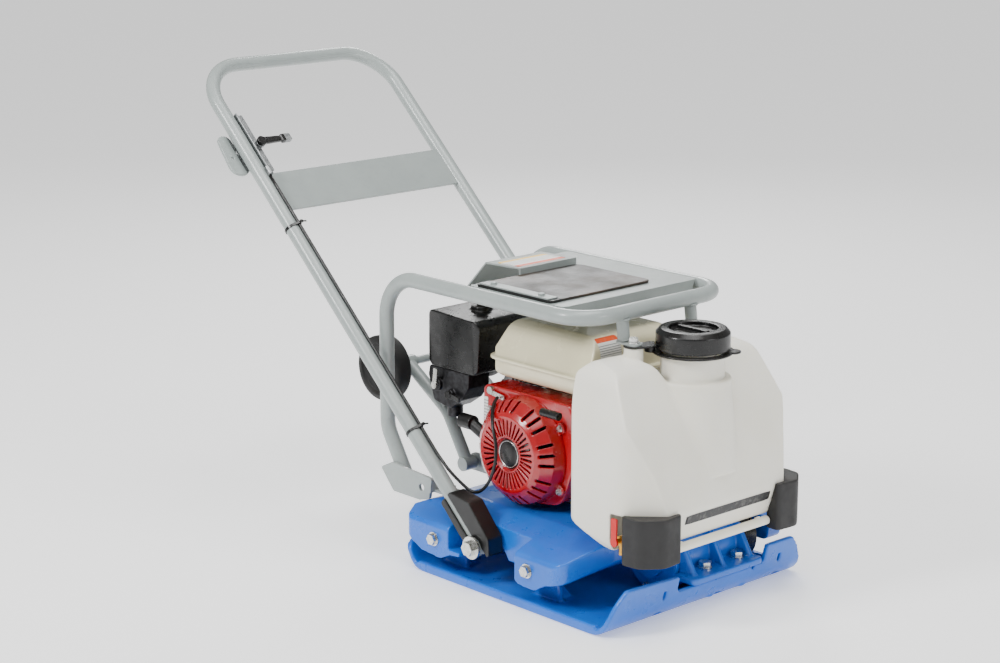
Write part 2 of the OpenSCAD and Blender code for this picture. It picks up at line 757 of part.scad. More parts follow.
module recoil_cover() color(red) {
    difference() {
        translate([crank_x, -118, crank_z]) rotate([90, 0, 0]) rotate_extrude()
            polygon([[0, 44], [28, 44], [31, 50], [70, 50], [80, 44], [96, 26], [recoil_d / 2, 4],
                     [recoil_d / 2, 0], [95, 0], [91, 22], [76, 40], [68, 46], [0, 40]]);
        for (i = [0 : 35])
            translate([crank_x, 0, crank_z]) rotate([0, 10 * i, 0]) translate([34, -175, -1.7])
                cube([30, 24, 3.4]);
        for (a = rim_slot_groups, k = [-1, 0, 1])
            translate([crank_x, 0, crank_z]) rotate([0, -a + 12 * k, 0]) translate([76, -175, -3])
                cube([20, 70, 6]);
    }
    for (a = recoil_lugs)
        difference() {
            translate([crank_x, 0, crank_z]) rotate([0, -a, 0])
                slab_y(-124, -118) polygon(round_box(92, -10, lug_r + 9, 10, 8));
            rod_y(crank_x + lug_r * cos(a), crank_z + lug_r * sin(a), -125, -117, 6);
        }
}

module recoil_grip() color(black) {
    translate([38, -134, 322]) rotate([70, 0, 0]) {
        cylinder(h = 16, d1 = 12, d2 = 16);
        translate([-22, 0, 22]) rotate([0, 90, 0]) cylinder(h = 44, d = 15);
    }
}

module engine_bolts() color(plated) {
    for (a = recoil_lugs)
        translate([crank_x + lug_r * cos(a), -124, crank_z + lug_r * sin(a)]) rotate([90, 0, 0])
            hex_bolt(6, 9, 4, 6, 13, 1.2);
    for (x = engine_bolt_x, y = engine_bolt_y)
        translate([x, y, engine_base_z + 14]) hex_bolt(8, 13, 6, 30, 18, 1.6);
}

fuel_seam_z = 398;

module fuel_form(t) {
    intersection() {
        slab_y(-132 + t, 108 - t)
            polygon(rounded([[-138 + t, 358 + t, 24], [96 - t, 358 + t, 24], [106 - t, fuel_seam_z, 10],
                             [98 - t, 466 - t, 30], [-116 + t, 468 - t, 26], [-146 + t, fuel_seam_z, 10]]));
        slab_x(-160, 120)
            polygon(rounded([[-122 + t, 358 + t, 24], [98 - t, 358 + t, 24], [107 - t, fuel_seam_z, 10],
                             [86 - t, 470 - t, 36], [-100 + t, 470 - t, 36], [-131 + t, fuel_seam_z, 10]]));
        slab_z(350, 480) polygon(round_box(-148 + t, -132 + t, 108 - t, 108 - t, 30));
    }
}

module fuel_tank() color(cream) {
    difference() {
        union() {
            fuel_form(0);
            slab_z(fuel_seam_z - 3, fuel_seam_z + 3) polygon(round_box(-154, -138, 114, 114, 30));
            rod_z(-45, -28, 460, 482, 56);
        }
        fuel_form(3);
        rod_z(-45, -28, 455, 483, 48);
    }
    for (x = [-100, -52])
        box([x, -40, 330], [x + 16, 40, 361]);
}

module fuel_cap() color(plated) {
    difference() {
        rod_z(-45, -28, 473, 500, 66);
        rod_z(-45, -28, 472, 495, 56.6);
    }
    rod_z(-45, -28, 478, 496, 47);
    rod_z(-45, -28, 496, 504, 40);
}

air_near_y = -100;

module air_cleaner() color(black) {
    difference() {
        intersection() {
            slab_y(air_near_y, 42)
                polygon(rounded([[-356, 352, 8], [-340, 338, 8], [-216, 338, 12], [-212, 440, 16],
                                 [-350, 446, 14]]));
            slab_z(330, 460) polygon(round_box(-358, air_near_y, -210, 42, 16));
        }
        box([-346, air_near_y + 8, 350], [-222, 34, 430]);
    }
    rod_z(-282, -26, 440, 452, 40);
}

module air_cleaner_knob() color(black) {
    rod_z(-282, -26, 452, 460, 18);
    for (a = [0, 60, 120])
        translate([-282, -26, 460]) rotate(a) translate([-15, -4, 0]) cube([30, 8, 8]);
}

carb_near_y = -98;
choke_xz = [-322, 304];
valve_xz = [-284, 292];

module carburetor() color(dark_steel) {
    slab_y(carb_near_y, -46)
        polygon(rounded([[-352, 318, 6], [-336, 270, 8], [-292, 262, 8], [-258, 284, 8],
                         [-240, 310, 6], [-238, 337, 4], [-348, 337, 4]]));
    rod_z(-300, -77, 244, 272, 30);
    rod_y(choke_xz[0], choke_xz[1], carb_near_y - 8, carb_near_y, 24);
    rod_y(valve_xz[0], valve_xz[1], carb_near_y - 8, carb_near_y, 18);
}

module choke_lever() color(plated) {
    rod_y(choke_xz[0], choke_xz[1], carb_near_y - 14, carb_near_y - 8.3, 14);
    translate([choke_xz[0], 0, choke_xz[1]])
        slab_y(carb_near_y - 13, carb_near_y - 9.5)
            polygon(rounded([[-5, 0, 2], [5, 0, 2], [9, 32, 3], [-1, 34, 3]]));
}

module fuel_valve_lever() color(black) {
    rod_y(valve_xz[0], valve_xz[1], carb_near_y - 14, carb_near_y - 8.3, 15);
    translate([valve_xz[0], 0, valve_xz[1]])
        slab_y(carb_near_y - 13, carb_near_y - 9.5)
            polygon(rounded([[0, -5, 2], [30, -9, 3], [32, 0, 3], [0, 5, 2]]));
}

arm_x = -152;
arm_z = 330;

module throttle_arm() color(plated) {
    rod_y(arm_x, arm_z, -126, -118.3, 14);
    slab_y(-124, -121)
        polygon(rounded([[arm_x - 6, arm_z + 2, 3], [arm_x - 4, arm_z - 7, 3], [arm_x + 34, arm_z - 12, 3],
                         [arm_x + 38, arm_z - 4, 3]]));
    rod_y(arm_x + 28, arm_z - 7, -129, -121, 6);
}

module plug_cap() color(black) {
    rod([-196, -82, 218], [-240, -91, 244], 23);
    rod_x(-92, 245, -264, -232, 28);
    rod_y(-206, 227, -80, -50, 14);
}

module muffler() color(dark_steel) {
    difference() {
        slab_y(84, 158)
            polygon(rounded([[-330, 300, 26], [-206, 300, 26], [-206, 412, 26], [-330, 412, 26]]));
        for (i = [0 : 5]) box([-312 + 17 * i, 153, 320], [-304 + 17 * i, 159, 392]);
    }
    rod_x(100, 330, -207, -186, 30);
    rod_x(112, 390, -338, -328, 22);
}

switch_x = -158;
switch_z = 196;

module engine_switch() color(red) {
    rod_y(switch_x, switch_z, -126, -118.3, 10);
    box([switch_x - 2, -131, switch_z - 4.5], [switch_x + 2, -126, switch_z + 4.5]);
}

module crankshaft() color(plated) {
    rod_y(crank_x, crank_z, -112, belt_y + 16, 25);
    slab_y(-20, 20)
        translate([crank_x, crank_z]) intersection() {
            circle(46);
            translate([-50, -50]) square([100, 62]);
        }
}

module flywheel_fan() color(dark_steel) {
    difference() {
        union() {
            rod_y(crank_x, crank_z, -92, -64, 120);
            rod_y(crank_x, crank_z, -112, -92, 44);
        }
        rod_y(crank_x, crank_z, -113, -63, 25);
    }
    for (i = [0 : 15])
        translate([crank_x, 0, crank_z]) rotate([0, 22.5 * i, 0]) translate([30, -108, -1.5])
            cube([28, 17, 3]);
}

module clutch_pulley() color(dark_steel) {
    pulley(crank_x, crank_z, clutch_pitch_r, 25, 11);
    difference() {
        rod_y(crank_x, crank_z, belt_y - 14, belt_y - 11, 100);
        rod_y(crank_x, crank_z, belt_y - 15, belt_y - 10, 25);
    }
}

// ---- water tank -----------------------------------------------------------------

module tank_side_view(t) {
    polygon(rounded([
        [tank_rear_x + t, 176 + t, 14], [190, 150 + t, 20], [222, 134 + t, 14], [300 - t, 148 + t, 16],
        [318 - t, 206, 20], [302 - t, 270, 40], [272 - t, 342, 60], [218 - t, 438 - t, 28],
        [150, 452 - t, 24], [tank_rear_x + t, 428 - t, 18]
    ]));
}

module tank_plan(t) {
    polygon(rounded([
        [tank_rear_x + t, -tank_half_w + t, 26], [262, -tank_half_w + t, 44],
        [324 - t, -142 + t, 30], [324 - t, 142 - t, 30], [262, tank_half_w - t, 44],
        [tank_rear_x + t, tank_half_w - t, 26]
    ]));
}

module tank_front_view(t) {
    polygon(rounded([
        [-tank_half_w + t, 130, 30], [tank_half_w - t, 130, 30], [tank_half_w - 2 - t, 330, 60],
        [tank_half_w - 34 - t, 452 - t, 50], [92, 450 - t, 40], [60, 400, 20],
        [-60, 400, 20], [-88, 450 - t, 40], [-tank_half_w + 30 + t, 456 - t, 46],
        [-tank_half_w + t, 340, 60]
    ]));
}

module tank_form(t) {
    intersection() {
        slab_y(-tank_half_w, tank_half_w) tank_side_view(t);
        slab_x(tank_rear_x, 330) tank_front_view(t);
        slab_z(120, 470) tank_plan(t);
    }
    translate([neck_x, 0, 250]) cylinder(h = 158 - t, r1 = 84 - t, r2 = 66 - t);
}

module water_tank() color(ivory) {
    difference() {
        union() {
            tank_form(0);
            rod_z(neck_x, 0, 400, 462, 112);
            rod_z(neck_x, 0, 400, 410, 136);
            both_sides() rod_z(tank_bolt_x, -post_y, 430, 464, 34);
        }
        tank_form(tank_wall);
        rod_z(neck_x, 0, 380, 463, 100);
        both_sides() rod_z(tank_bolt_x, -post_y, 455, 465, 8);
        box([tank_rear_x - 1, -118, 120], [152, 118, 470]);
        box([valve_x - 14, -220, 120], [262, -176, valve_z + 46]);
        box([tank_rear_x - 1, 138, 120], [156, 220, 206]);
    }
}

module water_cap() color(black) {
    difference() {
        translate([neck_x, 0, 0]) {
            rod_z(0, 0, 459.6, 488, cap_d);
            translate([0, 0, 488]) cylinder(h = 8, d1 = cap_d, d2 = cap_d - 14);
        }
        rod_z(neck_x, 0, 458, 480, cap_d - 16);
        rod_z(neck_x, 0, 488, 497, cap_d - 44);
    }
    box([neck_x - 34, -5, 484], [neck_x + 34, 5, 495]);
}

module cap_tether() color(black) {
    difference() {
        union() {
            rod_z(neck_x, 0, 452, 456, cap_d + 12);
            hull() {
                rod_z(tank_bolt_x, -post_y, 464, 467.5, 36);
                rod_z(neck_x - 34, -36, 464, 467.5, 30);
            }
            rod_z(neck_x - 50, -50, 452, 467.5, 26);
            rod_z(neck_x + 52, 44, 452, 456, 30);
        }
        rod_z(neck_x, 0, 450, 468, cap_d + 2);
        rod_z(tank_bolt_x, -post_y, 463, 468, 8);
    }
    difference() {
        rod_z(neck_x, 0, 452, 456, cap_d + 3);
        rod_z(neck_x, 0, 451, 457, 112.6);
    }
}

// A moulded cup over one lower corner of the tank.
module corner_bumper() {
    difference() {
        slab_z(122, 208)
            polygon(rounded([[262, -210, 10], [304, -206, 26], [332, -170, 26], [328, -124, 8],
                             [300, -124, 8], [262, -180, 8]]));
        intersection() {
            slab_y(-tank_half_w, tank_half_w) tank_side_view(-0.1);
            slab_z(120, 470) tank_plan(-0.1);
        }
    }
}

module tank_bumpers() color(charcoal) {
    both_sides() corner_bumper();
}

module spray_bar() color(ivory) {
    difference() {
        rod_y(303, 138, -122, 122, 16);
        for (i = [-7 : 7]) rod_z(303, 16 * i, 128, 134, 2.4);
    }
    for (s = SIDES) rod([303, 100 * s, 138], [299, 100 * s, 147], 10);
}

valve_x = 248;
valve_z = 158;
valve_lever_y = -209;

module valve_body() color([0.72, 0.55, 0.25]) {
    rod_y(valve_x, valve_z, -196, -176, 17);
    rod_y(valve_x, valve_z, valve_lever_y + 4.3, -196, 8);
    rod_z(valve_x, -188, valve_z - 26, valve_z - 4, 11);
}

module valve_lever() color(red) {
    rod_y(valve_x, valve_z, valve_lever_y, valve_lever_y + 4, 16);
    translate([valve_x, 0, valve_z])
        slab_y(valve_lever_y, valve_lever_y + 3)
            polygon(rounded([[-6, 0, 1], [6, 0, 1], [7, 42, 3], [-7, 42, 3]]));
}

// ---- handle ---------------------------------------------------------------------

// The handle's own frame: +X up the side tubes from the pivot, +Z off their top side.
module in_handle() translate([pivot_x, 0, pivot_z]) rotate([0, handle_angle, 0]) mirror([1, 0, 0]) children();

handle_bend_r = 95;
plate_low = 767;
plate_high = 856;

module handle_frame() color(steel_grey) in_handle() {
    pts = [[10, -handle_half_w, 0], [handle_len, -handle_half_w, 0], [handle_len, handle_half_w, 0],
           [10, handle_half_w, 0]];
    difference() {
        union() {
            difference() {
                bent_rod(pts, [handle_bend_r, handle_bend_r], tube_d);
                bent_rod(pts, [handle_bend_r, handle_bend_r], tube_bore);
            }
            both_sides() rod_y(0, 0, -handle_half_w - 22, -handle_half_w + 16.5, 34);
        }
        both_sides() rod_y(0, 0, -260, -200, pivot_bolt_d + 2 * run_clear);
    }
    box([plate_low, -handle_half_w + tube_r - 2, 3], [plate_high, handle_half_w - tube_r + 2, 7]);
}

module handle_buffers() color(rubber_black) in_handle() both_sides() {
    difference() {
        slab_y(-handle_half_w - 18, -handle_half_w + 17.5)
            polygon(rounded([[108, -17, 5], [-4, -19, 4], [-28, 6, 4], [-34, 20, 6], [-12, 40, 8],
                             [66, 47, 10], [108, 18, 6]]));
        rod_x(-handle_half_w, 0, 0, 140, tube_d);
        rod_y(0, 0, -300, -150, 34);
        box([-60, -handle_half_w - 22, -24], [10, -handle_half_w + 20, 14]);
        box([-10, -handle_half_w - 30, -4], [140, -handle_half_w - 6, 9]);
    }
}

tie_places = [251, 728];
cable_d = 6;

module tie_band(t, half_w, grow) {
    hull() {
        rod_x(-handle_half_w, 0, t - half_w, t + half_w, tube_d + grow);
        rod_x(-handle_half_w + 8, tube_r + 1.5, t - half_w, t + half_w, cable_d + grow);
    }
}

module cable_ties() color(black) in_handle() {
    for (t = tie_places)
        difference() {
            tie_band(t, 2.5, 3.2);
            tie_band(t, 4, 0.6);
        }
}

lever_t = 928;
lever_y = -handle_half_w + 42;

module throttle_bracket() color(cast_grey) in_handle() {
    box([864, -handle_half_w + tube_r, 2], [1004, -handle_half_w + tube_r + 3, 14]);
    box([864, -handle_half_w + tube_r, 2], [1004, -handle_half_w + tube_r + 20, 5]);
    rod_z(lever_t, lever_y - 8, 5, 12, 18);
    difference() {
        hull() {
            rod_z(900, -handle_half_w - 20, -22, -16, 44);
            rod_z(960, -handle_half_w - 20, -22, -16, 30);
        }
        rod_z(920, -handle_half_w - 24, -24, -14, 6);
    }
    rod_z(930, -handle_half_w - 3, -22, -tube_r - 0.1, 14);
    rod_x(-handle_half_w + 8.5, tube_r + 5, 846, 866, 10);
}

module throttle_lever() color(black) in_handle() {
    rod_z(lever_t, lever_y - 8, 12.3, 20, 20);
    slab_z(13, 19)
        polygon(rounded([[lever_t - 8, lever_y - 10, 2], [lever_t + 8, lever_y - 10, 2],
                         [lever_t + 6, lever_y + 40, 2], [lever_t - 6, lever_y + 40, 2]]));
    box([lever_t - 8, lever_y + 38, 11], [lever_t + 8, lever_y + 60, 21]);
}

// ---- throttle cable ----------------------------------------------------------------

cable_sides = 10;

function frame_dir(p, i) = unit(p[min(i + 1, len(p) - 1)] - p[max(i - 1, 0)]);
function ring(c, d, r) =
    let (a = unit(cross(d, abs(d[1]) < 0.9 ? [0, 1, 0] : [1, 0, 0])), b = cross(d, a))
    [for (k = [0 : cable_sides - 1]) c + r * (a * cos(360 * k / cable_sides) + b * sin(360 * k / cable_sides))];
function blend4(a, b, c, d, t) =
    0.5 * (2 * b + (c - a) * t + (2 * a - 5 * b + 4 * c - d) * t * t + (3 * b - a - 3 * c + d) * t * t * t);
function smooth_path(p, n) = [
    for (i = [0 : len(p) - 2], k = [0 : n - 1])
        blend4(p[max(i - 1, 0)], p[i], p[i + 1], p[min(i + 2, len(p) - 1)], k / n),
    p[len(p) - 1]
];

module cable(route, n) {
    p = smooth_path(route, n);
    m = len(p);
    points = [for (i = [0 : m - 1]) each ring(p[i], frame_dir(p, i), cable_d / 2)];
    c = cable_sides;
    faces = [
        [for (k = [0 : c - 1]) k],
        for (i = [0 : m - 2], k = [0 : c - 1])
            [i * c + k, (i + 1) * c + k, (i + 1) * c + (k + 1) % c, i * c + (k + 1) % c],
        [for (k = [c - 1 : -1 : 0]) (m - 1) * c + k]
    ];
    polyhedron(points, faces);
}

module throttle_cable_upper() color(black) in_handle() {
    rod_x(-handle_half_w + 8, tube_r + 1, 190.6, 846, cable_d);
}

// Route of the free loop, from the handle tube to the engine's throttle arm.
loop_route = [
    [-190, -220, 222], [-160, -219, 198], [-136, -211, 177], [-116, -204, 164],
    [-96, -201, 167], [-76, -198, 188], [-64, -194, 222], [-66, -189, 256],
    [-82, -182, 288], [-104, -162, 310], [-117, -144, 320], [-122, -133, 324]
];

module throttle_cable_loop() color(black) cable(loop_route, 4);

// ---- wheel kit -----------------------------------------------------------------------

swing_x = -278;
swing_z = 152;
arm_half_y = 66;
bracket_z = engine_base_z;

module wheel_bracket() color(steel_grey)
    difference() {
        union() {
            box([-296, -44, bracket_z + 0.2], [-178, 44, bracket_z + 5]);
            both_sides()
                slab_y(-44, -37)
                    polygon(rounded([[-296, bracket_z + 3, 2], [-226, bracket_z + 3, 2],
                                     [-258, swing_z + 14, 10], [-296, swing_z + 14, 12]]));
        }
        rod_y(swing_x, swing_z, -50, 50, 12);
        both_sides() rod_z(-198, -24, 120, 145, 9);
    }

module wheel_frame() color(steel_grey) {
    rod_y(swing_x, swing_z, -arm_half_y - 14, arm_half_y + 14, 12 - 2 * run_clear);
    both_sides() {
        rod_y(swing_x, swing_z, -arm_half_y - 14, -arm_half_y + 14, 27);
        bent_rod([[swing_x, -arm_half_y, swing_z], [-334, -arm_half_y, 243],
                  [axle_x, -arm_half_y, axle_z]], [70], 24);
        rod_y(axle_x, axle_z, -arm_half_y - 14, -arm_half_y + 14, 27);
    }
    rod_y(axle_x, axle_z, -wheel_half_gap - 26, wheel_half_gap + 26, 16);
}

module wheel_at(y) {
    translate([axle_x, y, axle_z]) rotate([90, 0, 0]) rotate_extrude()
        polygon(rounded([[8 + run_clear, -wheel_w / 2, 0], [20, -wheel_w / 2, 0], [24, -12, 3],
                         [46, -12, 3], [50, -wheel_w / 2 + 2, 3], [wheel_d / 2, -wheel_w / 2 + 6, 8],
                         [wheel_d / 2, wheel_w / 2 - 6, 8], [50, wheel_w / 2 - 2, 3], [46, 12, 3],
                         [24, 12, 3], [20, wheel_w / 2, 0], [8 + run_clear, wheel_w / 2, 0]], 3));
}

module wheel_near() color(rubber_black) wheel_at(-wheel_half_gap);
module wheel_far() color(rubber_black) wheel_at(wheel_half_gap);

base_plate();
exciter_housing();
exciter_covers();
exciter_bearings();
exciter_bolts();
rubber_isolators();
exciter_shaft();
eccentric_weight();
exciter_pulley();
engine_deck();
isolator_bolts();
drive_belt();
belt_guard();
lifting_cage();
cage_feet();
cage_bolts();
top_sheet();
top_hood();
flap_clamp();
flap_root();
rubber_flap();
handle_pivots();
crankcase();
cylinder_barrel();
fan_shroud();
recoil_cover();
recoil_grip();
engine_bolts();
fuel_tank();
fuel_cap();
air_cleaner();
air_cleaner_knob();
carburetor();
choke_lever();
fuel_valve_lever();
throttle_arm();
plug_cap();
muffler();
engine_switch();
crankshaft();
flywheel_fan();
clutch_pulley();
water_tank();
water_cap();
cap_tether();
tank_bumpers();
spray_bar();
valve_body();
valve_lever();
handle_frame();
handle_buffers();
cable_ties();
throttle_bracket();
throttle_lever();
throttle_cable_upper();
throttle_cable_loop();
wheel_bracket();
wheel_frame();
wheel_near();
wheel_far();
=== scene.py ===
"""Looks of the plate compactor: finishes, rounded castings and mouldings, labels, cable, floor and light."""

import json
import math

import bmesh
import bpy
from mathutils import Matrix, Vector, noise
from mathutils.bvhtree import BVHTree


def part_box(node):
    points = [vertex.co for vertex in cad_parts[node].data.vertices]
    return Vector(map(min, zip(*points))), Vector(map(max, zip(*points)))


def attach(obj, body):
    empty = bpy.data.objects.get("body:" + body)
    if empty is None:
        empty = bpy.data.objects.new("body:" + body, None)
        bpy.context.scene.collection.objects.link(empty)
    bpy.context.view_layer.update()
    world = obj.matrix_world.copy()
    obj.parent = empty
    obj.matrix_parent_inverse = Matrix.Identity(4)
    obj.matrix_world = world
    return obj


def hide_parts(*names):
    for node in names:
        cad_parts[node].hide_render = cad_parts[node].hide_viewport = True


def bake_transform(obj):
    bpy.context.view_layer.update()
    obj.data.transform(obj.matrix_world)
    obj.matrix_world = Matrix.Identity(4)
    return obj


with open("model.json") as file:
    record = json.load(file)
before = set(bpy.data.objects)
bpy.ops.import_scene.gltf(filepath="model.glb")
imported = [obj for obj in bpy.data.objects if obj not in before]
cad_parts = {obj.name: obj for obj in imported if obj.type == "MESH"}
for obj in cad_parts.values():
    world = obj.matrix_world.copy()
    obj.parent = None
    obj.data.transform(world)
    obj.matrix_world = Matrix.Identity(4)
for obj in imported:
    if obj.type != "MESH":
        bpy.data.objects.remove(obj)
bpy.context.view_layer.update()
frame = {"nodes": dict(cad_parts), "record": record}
NODES = frame["nodes"]
SLOT_OF = {s["node"]: s["material_slot"] for s in frame["record"]["subparts"]}
BODY_OF = {node: body for body, nodes in frame["record"]["behaviour"]["bodies"].items() for node in nodes}
MM = 0.001


# ---- finishes ---------------------------------------------------------------


def linear(r, g, b):
    """A colour given as it looks on a screen, 0 to 1, as the renderer wants it."""
    return tuple(c / 12.92 if c <= 0.04045 else ((c + 0.055) / 1.055) ** 2.4 for c in (r, g, b)) + (1.0,)


DUST = linear(0.62, 0.58, 0.52)
BARE_STEEL = linear(0.50, 0.51, 0.52)


class Finish:
    """A procedural material whose patterns are laid out in metres on the object itself."""

    def __init__(self, name, color, rough, metal=0.0):
        self.mat = bpy.data.materials.new(name)
        self.mat.use_nodes = True
        self.tree = self.mat.node_tree
        self.bsdf = self.tree.nodes["Principled BSDF"]
        self.place = self.node("ShaderNodeTexCoord").outputs["Object"]
        self.color = self.node("ShaderNodeRGB").outputs[0]
        self.color.default_value = color
        self.rough = self.constant(rough)
        self.metal = self.constant(metal)
        self.normal = None
        self.edge_mask = None

    def node(self, kind, **settings):
        made = self.tree.nodes.new(kind)
        for key, value in settings.items():
            setattr(made, key, value)
        return made

    def constant(self, value):
        out = self.node("ShaderNodeValue").outputs[0]
        out.default_value = value
        return out

    def math(self, operation, a, b=0.0, clamp=False):
        made = self.node("ShaderNodeMath", operation=operation, use_clamp=clamp)
        for socket, value in zip(made.inputs, (a, b)):
            if isinstance(value, (int, float)):
                socket.default_value = value
            else:
                self.tree.links.new(value, socket)
        return made.outputs[0]

    def noise(self, size, detail=3.0, rough=0.55, stretch=(1, 1, 1), warp=0.0):
        """Noise whose features are about that size, in metres."""
        spread = self.node("ShaderNodeMapping")
        spread.inputs["Scale"].default_value = stretch
        self.tree.links.new(self.place, spread.inputs["Vector"])
        made = self.node("ShaderNodeTexNoise")
        made.inputs["Scale"].default_value = 1 / size
        made.inputs["Detail"].default_value = detail
        made.inputs["Roughness"].default_value = rough
        made.inputs["Distortion"].default_value = warp
        self.tree.links.new(spread.outputs[0], made.inputs["Vector"])
        return made.outputs["Fac"]

    def between(self, value, low, high, top=1.0):
        """Turns value from low to high into 0 to top."""
        made = self.node("ShaderNodeMapRange", clamp=True)
        self.tree.links.new(value, made.inputs["Value"])
        for key, number in (("From Min", low), ("From Max", high), ("To Min", 0.0), ("To Max", top)):
            made.inputs[key].default_value = number
        return made.outputs[0]

    def tint(self, color, amount):
        """Mixes another colour in, by an amount that varies over the surface."""
        made = self.node("ShaderNodeMix", data_type="RGBA")
        self.tree.links.new(self.color, made.inputs["A"])
        made.inputs["B"].default_value = color
        self.tree.links.new(amount, made.inputs["Factor"])
        self.color = made.outputs["Result"]

    def roughen(self, amount):
        self.rough = self.math("ADD", self.rough, amount, clamp=True)

    def shine(self, amount):
        self.metal = self.math("ADD", self.metal, amount, clamp=True)

    def bump(self, height, metres):
        """Adds relief, metres deep, on top of the relief that is already there."""
        made = self.node("ShaderNodeBump")
        made.inputs["Distance"].default_value = metres
        made.inputs["Strength"].default_value = 1.0
        self.tree.links.new(height, made.inputs["Height"])
        if self.normal is not None:
            self.tree.links.new(self.normal, made.inputs["Normal"])
        self.normal = made.outputs[0]

    def round_edges(self, radius):
        """Rounds the look of sharp edges, and keeps where they are for wear."""
        bevel = self.node("ShaderNodeBevel", samples=6)
        bevel.inputs["Radius"].default_value = radius
        self.normal = bevel.outputs[0]
        flat = self.node("ShaderNodeNewGeometry").outputs["Normal"]
        same = self.node("ShaderNodeVectorMath", operation="DOT_PRODUCT")
        self.tree.links.new(bevel.outputs[0], same.inputs[0])
        self.tree.links.new(flat, same.inputs[1])
        self.edge_mask = self.math("SUBTRACT", 1.0, same.outputs["Value"], clamp=True)

    def facing_up(self):
        """1 on surfaces that face up and 0 on walls and undersides."""
        parts = self.node("ShaderNodeSeparateXYZ")
        self.tree.links.new(self.node("ShaderNodeNewGeometry").outputs["Normal"], parts.inputs[0])
        return self.between(parts.outputs["Z"], 0.35, 1.0)

    def axis(self, name):
        parts = self.node("ShaderNodeSeparateXYZ")
        self.tree.links.new(self.place, parts.inputs[0])
        return parts.outputs[name]

    def dust(self, amount):
        """A thin patchy layer of site dust on whatever faces up."""
        patch = self.math("MULTIPLY", self.facing_up(), self.between(self.noise(0.05, 6, 0.65), 0.38, 0.72))
        patch = self.math("MULTIPLY", patch, amount)
        self.tint(DUST, patch)
        self.roughen(patch)

    def chips(self, color, share):
        """Bare metal spots along the edges, where a finish is knocked off."""
        spots = self.between(self.noise(0.004, 5, 0.7), 0.62 - 0.1 * share, 0.68 - 0.1 * share)
        bare = self.math("MULTIPLY", self.between(self.edge_mask, 0.03, 0.14), spots)
        self.tint(color, bare)
        self.roughen(self.math("MULTIPLY", bare, 0.25))
        self.shine(bare)

    def scuffs(self, amount, color, stretch=(1, 9, 4)):
        """Short drawn-out rub marks."""
        lines = self.between(self.noise(0.02, 8, 0.75, stretch, 0.6), 0.63, 0.70)
        self.tint(color, self.math("MULTIPLY", lines, amount))
        self.roughen(self.math("MULTIPLY", lines, amount))

    def done(self, **sockets):
        """Joins everything to the shader; single values go straight onto its own sockets."""
        for name, out in (("Base Color", self.color), ("Roughness", self.rough), ("Metallic", self.metal)):
            self.tree.links.new(out, self.bsdf.inputs[name])
        if self.normal is not None:
            self.tree.links.new(self.normal, self.bsdf.inputs["Normal"])
        for name, value in sockets.items():
            self.bsdf.inputs[name.replace("_", " ")].default_value = value
        return self.mat


def paint(name, color, dark, rough, cast=0.0, wear=0.3, dust=0.1, coat=0.25):
    """Sprayed enamel: a slight orange peel, cloudy colour, soft dust and a few knocked edges."""
    f = Finish(name, color, rough)
    f.round_edges(1.4 * MM)
    f.tint(dark, f.between(f.noise(0.13, 5), 0.38, 0.78, 0.5))
    f.tint(dark, f.between(f.noise(0.012, 4), 0.5, 0.8, 0.22))
    f.roughen(f.between(f.noise(0.045, 5), 0.4, 0.75, 0.12))
    f.bump(f.noise(2.6 * MM, 2), 0.05 * MM)
    if cast:
        f.bump(f.noise(1.1 * MM, 3), 0.10 * MM * cast)
        f.bump(f.noise(14 * MM, 3), 0.35 * MM * cast)
    f.scuffs(0.10 + 0.1 * wear, dark)
    f.dust(dust)
    f.chips(BARE_STEEL, wear)
    return f.done(Coat_Weight=coat, Coat_Roughness=0.12)


def metal(name, color, other, rough, grain=(1, 1, 1), fine=0.03):
    """Bare or plated metal with a clouded surface and fine scratches."""
    f = Finish(name, color, rough, 1.0)
    f.round_edges(0.5 * MM)
    f.tint(other, f.between(f.noise(0.008, 5), 0.35, 0.7, 0.8))
    f.roughen(f.between(f.noise(0.003, 4), 0.4, 0.75, 0.2))
    f.bump(f.noise(1.2 * MM, 5, 0.7, grain), fine * MM)
    f.dust(0.10)
    return f.done()


def plastic(name, color, pale, rough, grain=0.05, scuff=0.18):
    """A moulding with a fine grain, rubbed edges and light scuffs."""
    f = Finish(name, color, rough)
    f.round_edges(0.9 * MM)
    f.tint(pale, f.between(f.noise(0.06, 5), 0.42, 0.8, 0.10))
    f.roughen(f.between(f.noise(0.02, 5), 0.4, 0.75, 0.16))
    f.bump(f.noise(0.8 * MM, 2), grain * MM)
    f.scuffs(scuff, pale)
    f.tint(pale, f.between(f.edge_mask, 0.04, 0.3, 0.108))
    f.dust(0.05)
    return f.done()


def water_plastic():
    """Milky polyethylene that lets light in, with moulding clouds and faint rub marks."""
    f = Finish("ivory_plastic", linear(0.955, 0.94, 0.885), 0.34)
    f.round_edges(3.0 * MM)
    f.tint(linear(0.90, 0.88, 0.80), f.between(f.noise(0.16, 4), 0.4, 0.8, 0.6))
    f.tint(linear(0.93, 0.92, 0.88), f.between(f.noise(0.004, 3), 0.55, 0.75, 0.35))
    f.roughen(f.between(f.noise(0.05, 5), 0.35, 0.75, 0.16))
    f.bump(f.noise(3.5 * MM, 3), 0.09 * MM)
    f.bump(f.noise(45 * MM, 2), 0.9 * MM)
    f.scuffs(0.10, linear(0.78, 0.77, 0.72))
    return f.done(Subsurface_Weight=0.2, Subsurface_Scale=0.02, Subsurface_Radius=(1.0, 0.85, 0.6))


